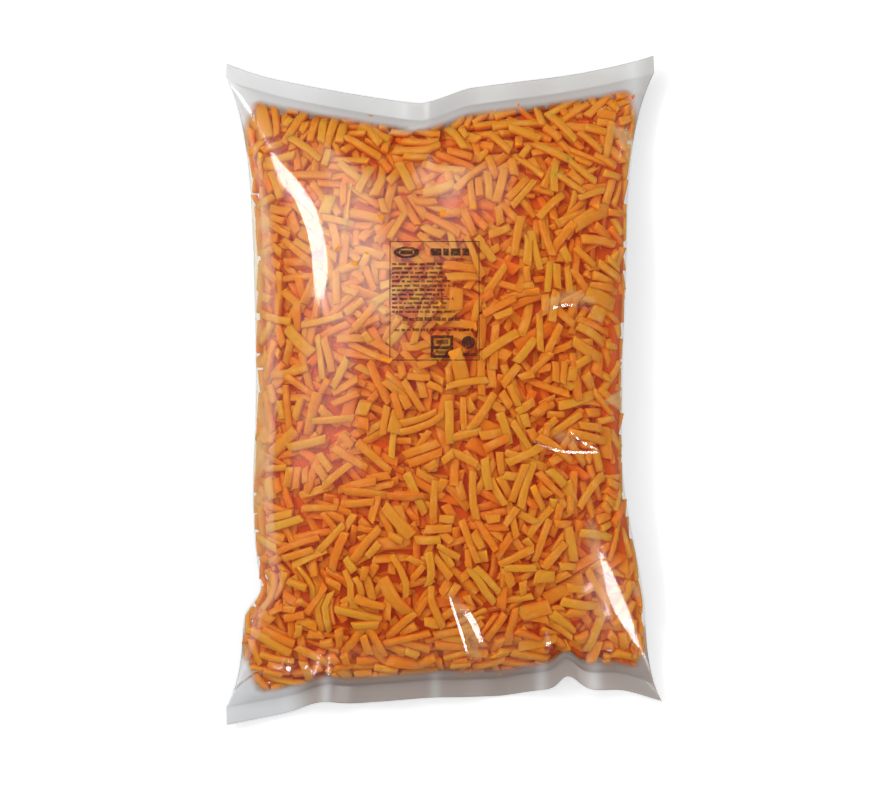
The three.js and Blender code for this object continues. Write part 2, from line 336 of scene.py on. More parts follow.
# Gives a row for each shred: where it is in the skin's table, its size, depth, slope and roll, how many
# columns and rows a millimetre along it and one across it span, and whether it is a long one.
def packShreds():
    draw = np.random.default_rng(shreds["seed"])
    along, around = skin["points"].shape[:2]
    height = coverDepth()
    room = skin["room"]
    stepAround, stepAlong = stepTables()
    area = np.linalg.norm(np.cross(skin["perAround"], skin["perAlong"]), axis=-1)
    share = np.where(skin["normal"][..., 2] < -0.6, 0.45, 1.0)  # few underneath, more by the rims
    share = share + 0.8 * (np.abs(skin["normal"][..., 0]) > 0.75)
    fromEnd = np.minimum(np.arange(along), along - 1 - np.arange(along)) / along
    share = share + 1.2 * bump(fromEnd, 0, 0.05)[:, None]
    x, y = skin["points"][..., 0], skin["points"][..., 1]
    emptyCorner = cornerShare(x, y) > np.where(y > 0, 0.3, 0.22)
    reach = np.cumsum((area * share * (room > 1.8) * ~emptyCorner).ravel())
    forwardShare, sideShare = (part.ravel() for part in np.meshgrid(
        np.linspace(-0.5, 0.5, 12), np.linspace(-0.5, 0.5, 4), indexing="ij"))
    slopes = np.array([-0.5, -0.35, -0.22, -0.1, 0, 0.1, 0.22, 0.35, 0.5])
    rolls = np.array([-0.5, -0.25, 0, 0.25, 0.5])
    rims = np.stack([skin["points"][..., 0].argmin(axis=1), skin["points"][..., 0].argmax(axis=1)])
    placed = []
    for number in range(shreds["count"]):
        isLong = draw.random() < shreds["longShare"]
        length = draw.uniform(*shreds["longLength" if isLong else "shortLength"])
        width = draw.uniform(*shreds["width"]) * (1.7 if draw.random() < shreds["plankShare"] else 1)
        thickness = draw.uniform(*shreds["thickness"])
        ownSlope = draw.normal(0, 0.17)
        ownRoll = draw.normal(0, 0.4)
        cells = np.searchsorted(reach, draw.random(shreds["tries"]) * reach[-1])
        row, column = np.divmod(cells, around)
        angle = draw.uniform(0, math.pi, shreds["tries"])[:, None]
        if number < shreds["onRims"]:
            row = draw.integers(along // 14, along - along // 14, shreds["tries"])
            column = rims[draw.integers(0, 2, shreds["tries"]), row] + draw.integers(-4, 5, shreds["tries"])
            angle = math.pi / 2 + draw.normal(0, 0.12, (shreds["tries"], 1))
        beside = number > shreds["onRims"] and draw.random() < shreds["besideShare"]
        if beside:  # the first place tried is next to the last shred, nearly in line with it
            lastRow, lastColumn, _, lastWidth, _, lastDepth, *_, bColumn, bRow, _ = placed[-1]
            step = (lastWidth + width) / 2 + 0.4
            row[0], column[0] = lastRow + bRow * step, (lastColumn + bColumn * step) % around
            row[0] = min(max(row[0], 1), along - 2)
            angle[0] = lastAngle + draw.normal(0, 0.12)
        a = np.cos(angle) * stepAround[row, column] + np.sin(angle) * stepAlong[row, column]
        b = -np.sin(angle) * stepAround[row, column] + np.cos(angle) * stepAlong[row, column]
        forward = forwardShare * length
        side = sideShare * width
        rows = row[:, None] + a[:, 1:] * forward + b[:, 1:] * side
        columns = column[:, None] + a[:, :1] * forward + b[:, :1] * side
        inside = (rows.min(axis=1) >= 4.5) & (rows.max(axis=1) <= along - 5.5)
        if not inside.any():
            continue
        r = np.clip(rows, 0, along - 1).astype(int)
        c = columns.astype(int) % around
        slope = slopes + ownSlope
        roll = rolls + ownRoll
        tops = height[r, c][:, None, None] - slope[:, None, None] * forward - roll[:, None] * side
        level = np.partition(tops, -4, axis=-1)[..., -4] + 0.5 * np.abs(rolls)
        level = level.reshape(shreds["tries"], -1)
        choice = level.argmin(axis=1)
        lowest = np.where(inside, level.min(axis=1), np.inf)
        k = 0 if beside and lowest[0] < lastDepth + 1.5 else int(lowest.argmin())
        pickSlope, pickRoll = np.divmod(choice[k], len(rolls))
        depth = lowest[k] - 0.5 * abs(rolls[pickRoll])
        depth -= shreds["softness"] * ease(depth, 2.0, 3.5)
        tooThick = (room[r[k], c[k]] * 1.05 < depth + thickness * 0.45).any()
        if depth > shreds["deepest"] or tooThick or emptyCorner[r[k], c[k]].mean() > 0.3:
            continue
        slope, roll = slope[pickSlope], roll[pickRoll]
        f, s = (part.ravel() for part in np.meshgrid(
            np.arange(-length / 2, length / 2, 0.55), np.arange(-width / 2, width / 2, 0.55), indexing="ij"))
        fr = np.clip((row[k] + f * a[k, 1] + s * b[k, 1]).astype(int), 0, along - 1)
        fc = (column[k] + f * a[k, 0] + s * b[k, 0]).astype(int) % around
        np.maximum.at(height, (fr, fc), depth + slope * f + roll * s + thickness)
        lastAngle = angle[k, 0]
        placed.append((row[k], column[k], length, width, thickness, depth, slope, roll, *a[k], *b[k], isLong))
    return np.array(placed, float)


def shredForm():  # one shred: stations along it, each a square with rounded corners
    stations = [(-1, 0.8), (-0.965, 1), (-0.35, 1), (0.35, 1), (0.965, 1), (1, 0.8)]
    ring = [(-1, -0.5), (-0.64, -1), (0.64, -1), (1, -0.5), (1, 0.5), (0.64, 1), (-0.64, 1), (-1, 0.5)]
    points = [(along, shrink * y, shrink * z) for along, shrink in stations for y, z in ring]
    last = 8 * (len(stations) - 1)
    faces = [tuple(range(7, -1, -1)), tuple(range(last, last + 8))]
    for base in range(0, last, 8):
        for i in range(8):
            j = (i + 1) % 8
            faces.append((base + i, base + j, base + 8 + j, base + 8 + i))
    return np.array(points), faces


def shredPoints(rows):  # the corners of all these shreds, bent to follow the film
    draw = np.random.default_rng(shreds["seed"] + 1)
    form, faces = shredForm()
    parts = rows.T[..., None]
    row, column, length, width, thickness, rest, slope, roll, aColumn, aRow, bColumn, bRow, _ = parts

    def vary(low, high):
        return draw.uniform(low, high, (len(rows), 1))

    x, y, z = form.T[:, None]
    taper = 1 + vary(-0.1, 0.1) * x
    skew = np.where(x > 0, vary(-0.5, 0.5), vary(-0.5, 0.5)) * (np.abs(x) > 0.5) * np.minimum(5 / width, 1)
    across = y * width / 2 * taper
    thick = z * thickness / 2 * (1 + vary(-0.08, 0.08) * x)
    forward = x * length / 2 + skew * across
    bowed = 1 - x * x
    across = across + vary(-0.8, 0.8) * bowed * (length / 24) ** 2
    across = across + draw.normal(0, 0.09, across.shape)
    thick = thick + draw.normal(0, 0.08, thick.shape)
    depth = rest + slope * forward + roll * across + thickness / 2 + thick
    depth = depth + vary(0, 0.5) * (x * x) * (length / 24) ** 2
    row = row + forward * aRow + across * bRow
    column = column + forward * aColumn + across * bColumn
    return skinPlace(row, column, depth), faces


def skinPlace(row, column, depth):  # the points that lie this deep under the film
    along, around = skin["points"].shape[:2]
    row = np.clip(row, 0, along - 1.001)
    r0 = row.astype(int)
    c0 = np.floor(column).astype(int)
    fr = (row - r0)[..., None]
    fc = (column - c0)[..., None]
    c0 %= around
    c1 = (c0 + 1) % around

    def between(table):
        near = table[r0, c0] * (1 - fc) + table[r0, c1] * fc
        far = table[r0 + 1, c0] * (1 - fc) + table[r0 + 1, c1] * fc
        return near * (1 - fr) + far * fr

    return between(skin["points"]) - between(skin["normal"]) * depth[..., None]


def makeShreds(name, rows, material, shadedTones):
    points, form = shredPoints(rows)
    each = points.shape[1]
    faces = [tuple(i + n * each for i in face) for n in range(len(rows)) for face in form]
    made = makeMesh(name, points.reshape(-1, 3), faces, [material])
    inwards = (shredForm()[0][:, 2] + 1) / 2  # painted shade: the side that looks away from the film is painted deeper and redder
    paint(made, "shadedTone", np.clip(shadedTones[:, None] - 0.65 * inwards, 0, 1).ravel())
    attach(made, "root")


cheeseLook = {
    "face": linearColour(218, 162, 44),
    "deep": linearColour(232, 113, 12),
    "dusting": linearColour(246, 190, 106),
    "paintedRedGlowColour": (0.9, 0.2, 0.01, 1),  # painted glow: a red that stands in for light that has wandered through the heap
    "paintedRedGlowStrength": 0.06,
    "scatter": 0.005,  # metres that light wanders inside a shred
    "scatterColour": (1.0, 0.45, 0.12),
    "roughness": 0.45,
}


def cheeseMaterial():
    g = Graph("cheddar")
    # the shreds' colour: a random tone, with painted shade on each shred's inward side and on the deeper
    # shreds
    body = g.blendColours(g.painted("shadedTone"), cheeseLook["deep"], cheeseLook["face"])
    dust = g.add("ShaderNodeMapRange", None, {"Value": g.noise(140, 3), "From Min": 0.52, "From Max": 0.72})
    colour = g.blendColours(dust * 0.3, body, cheeseLook["dusting"])
    height = g.noise(900, 2) * 0.4 + g.noise(260, 2)
    bump = g.add("ShaderNodeBump", None, {"Strength": 0.3, "Distance": 0.0006, "Height": height})
    # a faint red glow over the cheese: painted light standing in for light scattered through the heap
    surface = g.add("ShaderNodeBsdfPrincipled", None, {
        "Base Color": colour, "Roughness": cheeseLook["roughness"], "Normal": bump,
        "Emission Color": cheeseLook["paintedRedGlowColour"], "Emission Strength": cheeseLook["paintedRedGlowStrength"],
        "Subsurface Weight": 0.95, "Subsurface Scale": cheeseLook["scatter"],
        "Subsurface Radius": cheeseLook["scatterColour"], "Specular IOR Level": 0.15})
    return g.finish(surface)


def shadedCoreMaterial():
    g = Graph("shadedCheddarCore")
    # painted shade: the core is coloured darker and redder than the shreds and mottled, so that in the gaps
    # it reads as shreds in shadow
    colour = g.blendColours(g.noise(90, 3), linearColour(205, 72, 8), linearColour(228, 100, 14))
    surface = g.add("ShaderNodeBsdfPrincipled", None, {
        "Base Color": colour, "Roughness": 0.7, "Specular IOR Level": 0.1})
    return g.finish(surface)


filmLook = {
    "tint": (0.97, 0.97, 0.972, 1),
    "milk": (0.77, 0.78, 0.80, 1),  # what shows where the film is cloudy or doubled
    # painted shade: the darker milk where the bag's shade falls on the film
    "milkShade": (0.37, 0.285, 0.245, 1),
    "cheeseLitMilk": (0.90, 0.66, 0.30, 1),  # painted light: the same milk tinted as if lit by the cheese under it
    "glossAhead": 0.075,  # both faces of the film, seen square on
    "sharpRough": 0.12,
    "creaseRough": 0.07,
    "hazyRough": 0.36,
    "hazyShare": 0.4,
    "grazing": 0.14,  # how much more it mirrors when seen along its face
    "sealRough": 0.42,
}


def filmMaterial(name, sharpRough, hazyRough, wrinkles=0.12, ribs=0.0):
    g = Graph(name)
    clear = g.add("ShaderNodeBsdfTransparent", None, {"Color": filmLook["tint"]})
    light = g.add("ShaderNodeBsdfDiffuse", None, {"Color": filmLook["milk"]})
    dark = g.add("ShaderNodeBsdfDiffuse", None, {"Color": filmLook["milkShade"]})
    milky = g.add("ShaderNodeMixShader", None, {0: g.painted("shade"), 1: light, 2: dark})
    # painted light: over the cheese the milk takes the cheese's colour, as if lit by it
    overCheese = g.add("ShaderNodeBsdfDiffuse", None, {"Color": filmLook["cheeseLitMilk"]})
    milky = g.add("ShaderNodeMixShader", None, {0: g.painted("cheeseLit"), 1: milky, 2: overCheese})
    height = g.noise(55, 2)
    if ribs:
        place = g.painted("ribPlace")
        height = height + ribs * place.math("SINE", place, 0.0)
    bump = g.add("ShaderNodeBump", None, {"Strength": wrinkles, "Distance": 0.001, "Height": height})
    sharp = g.add("ShaderNodeBsdfGlossy", None, {"Color": white, "Roughness": sharpRough, "Normal": bump})
    hazy = g.add("ShaderNodeBsdfGlossy", None, {"Color": white, "Roughness": hazyRough, "Normal": bump})
    gloss = g.add("ShaderNodeMixShader", None, {0: filmLook["hazyShare"], 1: sharp, 2: hazy})
    facing = g.add("ShaderNodeLayerWeight", None, {"Blend": 0.5, "Normal": bump}, "Facing")
    edge = filmLook["glossAhead"] + filmLook["grazing"] * facing.math("POWER", facing, 5.0)
    under = g.add("ShaderNodeMixShader", None, {0: g.painted("cloudAndSheen"), 1: clear, 2: milky})
    return g.finish(g.add("ShaderNodeMixShader", None, {0: edge, 1: under, 2: gloss}))


# The lamps stand where the film mirrors them. Places are in metres, and glow is how bright a lamp looks.
lamps = {
    "veilLamp": {
        "glow": 3.1, "colour": (0.92, 1.0, 0.86), "wide": 0.34,
        "line": [(-0.60, 0.22, 1.3), (-0.28, 1.9, 1.3)]},
    "paleVeilLamp": {"glow": 0.8, "wide": 0.34, "line": [(-0.28, 0.22, 1.31), (0.08, 1.8, 1.31)]},
    "lowVeilLamp": {"glow": 1.1, "wide": 0.85, "line": [(-0.78, -0.28, 1.3), (-0.78, 0.22, 1.3)]},
    "leftWall": {"glow": 1.8, "wide": 0.7, "line": [(-1.9, -1.1, 0.4), (-1.9, 0.9, 0.4)]},
    "overheadFill": {
        "glow": 1.6, "wide": 2.4, "line": [(-1.35, 0.3, 2.5), (1.05, 0.3, 2.5)], "mirrored": False},
}
view = {"distance": 1.72, "pictureWidth": 0.570, "middle": (-0.0019, -0.0019)}

film = {"across": 220, "along": 330, "bandSteps": 12, "ribPitch": 1.7, "sealCloud": 0.78}

# Each taut strip is a flat stretch of film that mirrors a lamp of its own. Tilt is how far its slope differs
# from the film's own, borders are how softly its two sides end, and a path is of (x, y, half width).
tautStrips = [
    {"name": "streakLamp", "tilt": 0.0, "glow": 18, "wide": 0.2, "places": 5, "borders": (0.7, 3.2), "path": [
        (-111, 152.5, 0.3), (-98.8, 137.4, 3.0), (-90, 124.4, 5.0), (-84.6, 111.5, 5.6), (-80.7, 98.5, 5.2),
        (-78.4, 85.5, 5.2), (-78, 72.6, 4.8), (-77.9, 61, 2.4), (-79, 57.5, 0.5)]},
    {"name": "rightLamp", "tilt": 0.0, "glow": 24, "wide": 0.09, "places": 5, "borders": (0.6, 2.4), "path": [
        (99.8, -101, 0.6), (102.4, -109, 2.0), (106.6, -122, 3.8), (111.5, -135, 4.9), (117.3, -146, 4.6),
        (123, -159, 2.4), (127, -166, 0.6)]},
]
creases = [  # narrow folds that stand on the film, as above but without borders
    {"tilt": -0.6, "path": [(3.5, -127, 0.3), (7.5, -141, 1.0), (12.4, -155.5, 1.0), (16.2, -170, 0.7)]},
    {"tilt": 0.45, "path": [
        (4, -127, 0.5), (12, -135.5, 2.0), (19.5, -146, 2.4), (24.5, -160, 1.9), (26.5, -165.5, 0.4)]},
    {"tilt": -0.6, "path": [(66, -153, 0.4), (67.5, -160, 2.0), (68, -167, 1.0)]},
    {"tilt": 0.45, "path": [
        (56, 48, 0.3), (66, 52, 0.8), (81, 56.5, 1.4), (95, 51.5, 1.3), (101.5, 44, 0.4)]},
    {"tilt": -0.45, "path": [(55.5, -31, 0.3), (70.6, -37, 0.9), (83.6, -38.4, 1.1), (99.5, -38.2, 0.4)]},
    {"tilt": -0.45, "path": [(80.5, -24.6, 0.3), (85, -29.8, 0.8), (94.6, -35, 0.9), (99.8, -38, 0.4)]},
    {"tilt": -0.1, "path": [(-101, -177, 1.2), (-98.5, -179, 1.8), (-96, -180, 0.8)]},
    {"tilt": 0.1, "path": [(-89.5, -176, 0.8), (-87, -177.5, 1.4), (-85, -178, 0.6)]},
]
creaseLamp = {"glow": 30, "wide": 0.03, "places": 3}
lampReach = 2.0  # metres from the bag to a strip's or crease's own lamp


def mirroredWay(x, y, height, along, side, ax, ay):  # the ways in which the camera's sight is mirrored there
    normal = np.stack([side * ay - along * ax, -side * ax - along * ay, np.ones_like(side)], -1)
    normal /= np.linalg.norm(normal, axis=-1, keepdims=True)
    toCamera = np.array([0, 0, view["distance"]]) - metres * np.stack([x, y, height], -1)
    toCamera /= np.linalg.norm(toCamera, axis=-1, keepdims=True)
    return 2 * np.sum(normal * toCamera, -1, keepdims=True) * normal - toCamera


def stripTilt(line, x, y, height, along, side, ax, ay):  # the slope near this one that mirrors this lamp best
    line = np.array(line)
    places = np.concatenate([np.linspace(first, second, 8) for first, second in zip(line, line[1:])])
    toLamp = places[:, None] - metres * np.stack([x, y, height], -1)
    toLamp /= np.linalg.norm(toLamp, axis=-1, keepdims=True)
    tilt = side
    for reach in (0.2, 0.02, 0.002):
        trials = tilt + reach * np.linspace(-1, 1, 21)[:, None]
        ways = mirroredWay(x, y, height, along, trials, ax, ay)
        match = np.einsum("pnk,tnk->tnp", toLamp, ways).max(axis=-1)
        tilt = np.take_along_axis(trials, match.argmax(axis=0)[None], 0)[0]
    return tilt


def ownLamp(strip, lampLook):  # a lamp where this strip mirrors it, as a line of places
    path = softPath(strip["path"])
    stops = np.linspace(0.04, 0.96, lampLook["places"]) * (len(path) - 1)
    x, y, _ = (np.interp(stops, np.arange(len(path)), part) for part in path.T)
    ax, ay = (np.interp(stops, np.arange(len(path)), np.gradient(part)) for part in path.T[:2])
    length = np.hypot(ax, ay)
    ax, ay = ax / length, ay / length
    height, along, side = filmSlopes(x, y, ax, ay)
    ways = mirroredWay(x, y, height, along, side + strip["tilt"], ax, ay)
    places = metres * np.stack([x, y, height], -1) + lampReach * ways
    return {"glow": lampLook["glow"], "wide": lampLook["wide"], "line": places.tolist()}


folds = [  # sharp creases: from, to, sideways bow, height, reach on their left and on their right
    ((60, 56), (108, 46), -4, 1.0, 6, 6),
    ((-110, -60), (-96, 20), 5, 1.0, 8, 12),
    ((-70, -176), (-40, -140), 3, 1.6, 9, 12),
    ((84, -180), (78, -140), 2, 1.8, 7, 8),
    ((-104, -178), (-92, -150), 2, 1.8, 6, 6),
    ((126, 172), (112, 140), 2, 1.8, 6, 8),
    ((112, 14), (104, -14), 3, 1.6, 5, 7),
]
milkAndSheenPatches = [  # where the film stands off or lies double and looks milky, and where pale painted sheen stands in for light its creases mirror: how much, border, path as above
    (0.30, 2, [(-36, 167, 0.5), (-22, 168, 2.4), (-12, 176, 1.8), (-2, 181, 0.5)]),
    (0.34, 2, [(110, 170, 1), (117, 165, 5), (120, 155, 3), (120, 147, 0.5)]),
    (0.42, 2, [(103, -6, 0.5), (110, -5, 4), (115, -5, 8)]),
    (0.22, 6, [(94, -84, 3), (97, -100, 4), (100, -118, 2)]),
    (0.34, 2, [(123, -124, 1.5), (125, -130, 2.5)]),
    (0.22, 3, [(74, -28, 3), (82, -32, 3)]),
    (0.30, 5, [(68, 57, 2), (82, 61, 3), (94, 58, 2)]),
    (0.08, 12, [(-70, -168, 4), (50, -160, 6)]),
    (0.30, 1.5, [(5, -129, 0.4), (12, -142, 2.5), (18, -157, 3.6), (21, -169, 3)]),
    (0.30, 3, [(-118, 160, 0.4), (-126, 145, 0.8), (-129, 128, 0.4)]),
]
clearHighlightLines = [  # creases in the grey corners, made clear so the white table shows through as their painted highlight: border and path as above
    (1.0, [(-141, -198, 0.5), (-131, -189, 0.7), (-122, -182, 0.4)]),
    (1.0, [(128, -184.5, 0.4), (134, -190, 0.8), (141, -197.5, 0.6)]),
]


def foldHeight(x, y):
    total = np.zeros_like(x)
    for (startX, startY), (endX, endY), bow, rise, leftReach, rightReach in folds:
        length = math.hypot(endX - startX, endY - startY)
        ax, ay = (endX - startX) / length, (endY - startY) / length
        forward = ((x - startX) * ax + (y - startY) * ay) / length
        side = (y - startY) * ax - (x - startX) * ay - bow * 4 * forward * (1 - forward)
        fade = ease(forward, -0.12, 0.3) * ease(1 - forward, -0.12, 0.3)
        away = np.sqrt(side * side + 0.8) - 0.9
        total += rise * fade * np.exp(-away / np.where(side > 0, leftReach, rightReach))
    return total


def looseTop(x, y):  # height of the upper film at these places, before its taut strips
    return loosePoint(*bagPlace(x, y))[..., 2]


def loosePoint(u, v):
    up = bagPoint(u, v, 1)
    x, y = up[..., 0], up[..., 1]
    ripples = 0.2 * waveField(np.stack([x, y, 0 * x], -1), 45, 21)
    inner = (1 - np.abs(u) ** 12) * np.where(np.abs(v) > 1, 0.5, 1)
    up[..., 2] += (foldHeight(x, y) + ripples) * inner
    return up


def softPath(path):  # the same path with its corners rounded off
    path = np.array(path, float)
    for _ in range(3):
        near, far = path[:-1] * 0.75 + path[1:] * 0.25, path[:-1] * 0.25 + path[1:] * 0.75
        path = np.concatenate([path[:1], np.stack([near, far], 1).reshape(-1, 3), path[-1:]])
    return path


def alongPath(x, y, path):  # of the path's nearest point: place, half width, direction and how far off it is
    nearest = np.full(x.shape, np.inf)
    found = [np.zeros_like(x) for _ in range(5)]
    for (ax, ay, aWide), (bx, by, bWide) in zip(path, path[1:]):
        dx, dy = bx - ax, by - ay
        length = math.hypot(dx, dy)
        share = np.clip(((x - ax) * dx + (y - ay) * dy) / length**2, 0, 1)
        here = (ax + share * dx, ay + share * dy, aWide + share * (bWide - aWide), dx / length, dy / length)
        gap = np.hypot(x - here[0], y - here[1])
        found = [np.where(gap < nearest, new, old) for new, old in zip(here, found)]
        nearest = np.minimum(gap, nearest)
    return (*found, nearest)


def filmSlopes(x, y, ax, ay):  # the upper film's height, and its slopes along a direction and to its left
    ahead = looseTop(x + 3 * ax, y + 3 * ay) - looseTop(x - 3 * ax, y - 3 * ay)
    aside = looseTop(x - 3 * ay, y + 3 * ax) - looseTop(x + 3 * ay, y - 3 * ax)
    return looseTop(x, y), ahead / 6, aside / 6


def filmTop(u, v):  # the upper film with its taut strips
    up = loosePoint(u, v)
    for strip in tautStrips:
        cx, cy, halfWidth, ax, ay, gap = alongPath(up[..., 0], up[..., 1], softPath(strip["path"]))
        near = (gap < halfWidth + max(strip["borders"])) & (np.abs(v) <= 1)
        if near.any():
            x, y, cx, cy, ax, ay = (part[near] for part in (up[..., 0], up[..., 1], cx, cy, ax, ay))
            height, along, side = filmSlopes(cx, cy, ax, ay)
            line = lamps[strip["name"]]["line"]
            tilt = stripTilt(line, cx, cy, height, along, side + strip["tilt"], ax, ay)
            out = (y - cy) * ax - (x - cx) * ay
            border = np.where(out < 0, *strip["borders"])
            share = 1 - ease((gap - halfWidth)[near] / border, 0, 1)
            up[near, 2] += (height + tilt * out - up[near, 2]) * share
    return up


crease = {"step": 1.0, "side": 0.7, "tuck": 0.15}


def makeCreases():
    points, faces = [], []
    for number, fold in enumerate(creases):
        path = softPath(fold["path"])
        run = [0]
        for (ax, ay, _), (bx, by, _) in zip(path, path[1:]):
            run.append(run[-1] + math.hypot(bx - ax, by - ay))
        stops = np.linspace(0, run[-1], max(int(run[-1] / crease["step"]), 4) + 1)
        x, y, wide = (np.interp(stops, run, part) for part in zip(*path))
        ax, ay = np.gradient(x), np.gradient(y)
        length = np.hypot(ax, ay)
        ax, ay = ax / length, ay / length
        middle, along, side = filmSlopes(x, y, ax, ay)
        line = lamps[f"creaseLamp{number}"]["line"]
        tilt = stripTilt(line, x, y, middle, along, side + fold["tilt"], ax, ay)
        shares = [-1, -0.85, 0, 0.85, 1]
        under = [looseTop(x - share * wide * ay, y + share * wide * ax) for share in shares]
        lift = np.max([low - middle - tilt * share * wide for low, share in zip(under, shares)], axis=0)
        rows = []
        for side in (-1, 1):
            out = wide + crease["side"] * np.minimum(wide, 1)
            px, py = x - side * out * ay, y + side * out * ax
            rows.append(np.stack([px, py, looseTop(px, py) - crease["tuck"]], -1))
        top = []
        for share in shares:
            out = share * wide
            top.append(np.stack([x - out * ay, y + out * ax, middle + lift + tilt * out], -1))
        strip = np.stack([rows[0], *top, rows[1]], axis=1)
        columns = strip.shape[1]
        base = sum(len(part) for part in points)
        points.append(strip.reshape(-1, 3))
        for r in range(len(stops) - 1):
            for c in range(columns - 1):
                a = base + r * columns + c
                faces.append((a, a + columns, a + columns + 1, a + 1))
    creasedFilm = filmMaterial("creasedFilm", filmLook["creaseRough"], filmLook["hazyRough"], 0.02)
    made = makeMesh("filmCreases", np.concatenate(points), faces, [creasedFilm])
    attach(made, "root")


for strip in tautStrips:
    lamps[strip["name"]] = ownLamp(strip, strip)
for number, fold in enumerate(creases):
    lamps[f"creaseLamp{number}"] = ownLamp(fold, creaseLamp)


def cloudinessAndSheen(x, y, u, v):  # how milky the film is: clear over the cheese, grey where it is sealed or empty, with painted sheen in milky patches and painted highlights along clear lines
    patchy = 0.8 + 0.35 * waveField(np.stack([x, y, 0 * x], -1), 16, 31)
    # a milky strip down the left side: partly the film's haze, partly painted sheen standing in for the pale
    # light that side mirrors
    leftStripSheen = 0.44 * patchy * ease(-x, 104, 118) * np.clip(bump(y, -25, 85) + bump(y, 95, 40), 0, 1)
    rimLine = 0.1 * ease(np.abs(u), 0.972, 1)
    nearSeal = film["sealCloud"] * ease(np.abs(v), 0.95, 0.98)
    milkAndSheen = 0
    for share, border, path in milkAndSheenPatches:
        milkAndSheen = np.maximum(milkAndSheen, share * nearPath(x, y, border, path))
    corner = 0.75 * ease(cornerShare(x, y), 0.12, 0.35)
    inside = corner + leftStripSheen + rimLine + nearSeal + milkAndSheen
    cloudAndSheen = np.where(np.abs(v) > 1, film["sealCloud"], np.clip(inside, 0, film["sealCloud"]))
    # painted highlights: clear lines where the white table shows through
    for border, path in clearHighlightLines:
        cloudAndSheen = cloudAndSheen * (1 - 0.75 * nearPath(x, y, border, path))
    return cloudAndSheen


def nearPath(x, y, border, path):  # 1 on the path, 0 off it
    *_, halfWidth, _, _, gap = alongPath(x, y, path)
    return 1 - ease(gap - halfWidth, -border / 2, border / 2)


def shading(x, v):  # how much painted shade darkens the milkiness: the foot is painted as lying in the bag's shade but for its creases, which are painted lighter, and the top seal is painted darker towards the right
    creases = bump(x, -76, 3.5) + 0.6 * bump(x, -5, 3.5) + 0.8 * bump(x, 64, 4) + 0.8 * bump(x, 98, 5)
    foot = 0.98 * ease(x, -103, -82) - 0.1 * ease(x, 105, 130) - 0.6 * creases
    top = 0.14 + 0.3 * ease(x, -110, 60) - 0.3 * bump(x, 124, 6)
    return np.clip(np.where(v < 0, foot, top), 0, 1)


def makeFilm():
    across = -np.cos(np.linspace(0, np.pi, film["across"] + 1))
    across = 0.3 * across + 0.7 * np.linspace(-1, 1, film["across"] + 1)
    inner = -np.cos(np.linspace(0, np.pi, film["along"] + 1))
    inner = 0.4 * inner + 0.6 * np.linspace(-1, 1, film["along"] + 1)
    band = np.arange(1, film["bandSteps"] + 1) / film["bandSteps"]
    along = np.concatenate([-1 - band[::-1], inner, 1 + band])
    rows, columns = len(along), len(across)
    u = np.broadcast_to(across, (rows, columns))
    v = np.broadcast_to(along[:, None], (rows, columns))
    up = filmTop(u, v)
    down = bagPoint(u, v, -1)
    points = np.concatenate([up.reshape(-1, 3), down.reshape(-1, 3)])
    below = rows * columns
    faces, kinds = [], []
    for r in range(rows - 1):
        sealed = 1 if r < film["bandSteps"] or r >= rows - 1 - film["bandSteps"] else 0
        for c in range(columns - 1):
            a, b = r * columns + c, r * columns + c + 1
            d, e = a + columns, b + columns
            faces.append((a, b, e, d))
            faces.append((below + a, below + d, below + e, below + b))
            kinds += [sealed, sealed]
    for c in range(columns - 1):
        last = (rows - 1) * columns
        faces.append((below + c, below + c + 1, c + 1, c))
        faces.append((last + c, last + c + 1, below + last + c + 1, below + last + c))
        kinds += [1, 1]
    for r in range(rows - 1):
        a, b = r * columns, (r + 1) * columns
        faces.append((a, b, below + b, below + a))
        a, b = a + columns - 1, b + columns - 1
        faces.append((a, below + a, below + b, b))
        kinds += [0, 0]
    clearFilm = filmMaterial("clearFilm", filmLook["sharpRough"], filmLook["hazyRough"])
    sealedFilm = filmMaterial("sealedFilm", filmLook["sealRough"], filmLook["sealRough"], ribs=1.5)
    made = makeMesh("filmBag", points, faces, [clearFilm, sealedFilm])
    made.data.polygons.foreach_set("material_index", kinds)
    fromSeal = (np.abs(v) - 1) * bag["sealBand"] * 2 * math.pi / film["ribPitch"] * (v < -1)
    paint(made, "ribPlace", np.tile(fromSeal.ravel(), 2))
    cloudAndSheenShares = cloudinessAndSheen(up[..., 0], up[..., 1], u, v)
    inCorner = cornerShare(up[..., 0], up[..., 1])
    empty = np.maximum(ease(np.abs(v), 0.93, 0.95), ease(inCorner, 0.03, 0.1))
    behind = np.where(np.abs(v) > 1, film["sealCloud"] / 2, 0.8 * empty)  # on the lower film
    paint(made, "cloudAndSheen", np.concatenate([cloudAndSheenShares.ravel(), behind.ravel()]))
    paint(made, "shade", np.tile(shading(up[..., 0], v).ravel(), 2))
    # where the milk is painted with the cheese's light
    overCheese = (1 - ease(np.abs(v), 0.93, 0.97)) * (1 - ease(inCorner, 0.1, 0.3))
    paint(made, "cheeseLit", np.tile(overCheese.ravel(), 2))
    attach(made, "root")
    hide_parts("cheese_bag")


panel = {  # the printed panel: blocks and dashes where a label would be
    "left": -33.7, "right": 23.0, "top": 95.3, "bottom": 19.8,
    "line": 0.55,
    "oval": (-23.0, 88.1, 16.2, 0.46),  # middle, width and how far it is flattened
    "heading": [(-8.0, 7.0), (0.2, 3.4), (5.0, 6.0), (12.2, 4.2)],  # left end and width of each block
    "headingBottom": 86.0, "headingTop": 90.6,
    "smallLines": 12, "firstSmallLine": 80.0, "smallPitch": 2.75, "smallHeight": 1.45,
    "square": (-7.8, 21.4, 6.5, 35.6),
    "squareLine": 1.9,
    "disc": (15.9, 31.1, 8.4),
    "foot": (12.3, 22.4, 20.7, 24.6),
    "proud": 0.12,  # how far the ink stands on the film
    "seed": 9,
}


def filmOver(x, y):  # points of the upper film at these places seen from above
    return filmTop(*bagPlace(x, y))


